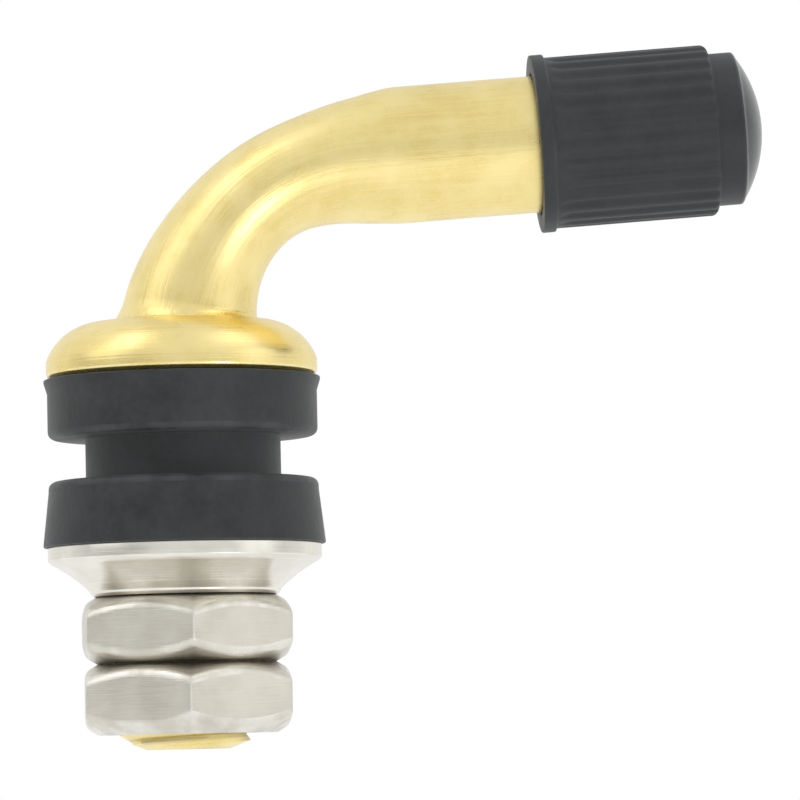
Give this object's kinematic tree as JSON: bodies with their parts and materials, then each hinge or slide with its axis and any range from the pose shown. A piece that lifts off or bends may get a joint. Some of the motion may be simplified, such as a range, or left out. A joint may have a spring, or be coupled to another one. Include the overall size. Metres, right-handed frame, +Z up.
{
  "type": "tyre valve",
  "caption": "Bent clamp-in tyre valve: brass elbow stem with flange, rubber rim grommet, cone washer, nut and lock nut, ribbed dust cap and a working spring core.",
  "frame": {"origin": "on the shank's axis, in the middle of the rim groove", "axes": "+Z up the shank to the flange, +X along the arm's side, so the arm and the cap point to +X"},
  "size_m": [0.043, 0.0166, 0.041],
  "materials": {
    "stem_brass": "machined, bright",
    "core_brass": "machined",
    "nickel_plate": "satin nickel plate",
    "grommet_rubber": "moulded, dull",
    "seal_rubber": "moulded",
    "cap_plastic": "moulded, satin",
    "gasket_polymer": "smooth",
    "spring_steel": "drawn wire"
  },
  "bodies": {
    "stem": {"valve_stem": "stem_brass", "grommet": "grommet_rubber", "nut": "nickel_plate"},
    "washer": {"washer": "nickel_plate"},
    "lock_nut": {"lock_nut": "nickel_plate"},
    "seal": {"cap_seal": "seal_rubber"},
    "cap": {"cap": "cap_plastic"},
    "core": {"core_barrel": "core_brass", "barrel_gasket": "gasket_polymer", "core_spring": "spring_steel"},
    "swivel": {"core_swivel": "core_brass"},
    "pin": {"core_pin": "core_brass", "core_cup": "core_brass", "cup_seal": "seal_rubber"}
  },
  "joints": [
    {"name": "cap_travel", "type": "slide", "parent": "stem", "child": "seal", "axis": [0.998, 0, 0.0628], "range_m": [0, 0.01111]},
    {"name": "cap_turn", "type": "hinge", "parent": "seal", "child": "cap", "pos_m": [0.03144, 0, 0.01893], "axis": [0.998, 0, 0.0628], "range_deg": [0, 5046]},
    {"name": "lock_nut_turn", "type": "hinge", "parent": "stem", "child": "washer", "pos_m": [0, 0, -0.014], "axis": [0, 0, -1], "range_deg": [0, 2166]},
    {"name": "lock_nut_travel", "type": "slide", "parent": "washer", "child": "lock_nut", "axis": [0, 0, -1], "range_m": [0, 0.006]},
    {"name": "core_travel", "type": "slide", "parent": "stem", "child": "core", "axis": [0.998, 0, 0.0628], "range_m": [0, 0.00141]},
    {"name": "core_turn", "type": "hinge", "parent": "core", "child": "swivel", "pos_m": [0.03144, 0, 0.01893], "axis": [0.998, 0, 0.0628], "range_deg": [0, 726]},
    {"name": "pin_press", "type": "slide", "parent": "core", "child": "pin", "axis": [-0.998, 0, -0.0628], "range_m": [0, 0.0012], "stiffness_N_per_m": 500, "springref_m": -0.004, "deforming": ["core_spring"]}
  ],
  "couplings": [
    {"joint": "cap_turn", "follows": "cap_travel", "rad_per_m": 7915.8},
    {"joint": "lock_nut_turn", "follows": "lock_nut_travel", "rad_per_m": 6283.2},
    {"joint": "core_turn", "follows": "core_travel", "rad_per_m": 8905.2}
  ]
}
